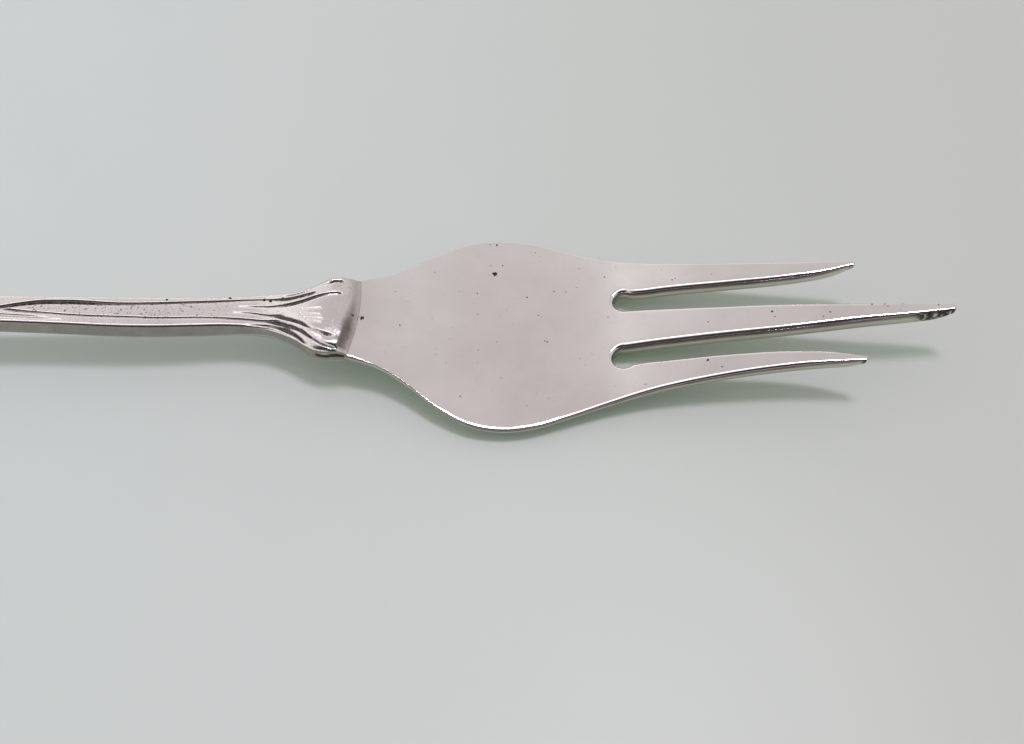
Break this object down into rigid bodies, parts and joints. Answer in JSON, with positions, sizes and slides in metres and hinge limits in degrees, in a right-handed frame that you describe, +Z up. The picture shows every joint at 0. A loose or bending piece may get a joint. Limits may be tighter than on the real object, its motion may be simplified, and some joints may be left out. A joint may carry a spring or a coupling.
{
  "type": "pastry fork",
  "caption": "Pastry fork with a broad flat palm, slim pointed tines and a filled handle whose reeded front ends in a fan on the shoulder.",
  "frame": {"origin": "middle of the fork's length and width, on the surface it lies on", "axes": "+X along the fork towards the tips of the tines, +Z up out of the front of the fork, +Y across it"},
  "size_m": [0.15, 0.0228, 0.0068],
  "materials": {
    "head_silver": "satin silver with fine wear scratches",
    "handle_silver": "satin silver, dark in the grooves",
    "filling": "dull brown handle cement"
  },
  "bodies": {
    "root": {"fork_head": "head_silver", "front_shell": "handle_silver", "back_shell": "handle_silver", "handle_filling": "filling"}
  },
  "joints": []
}
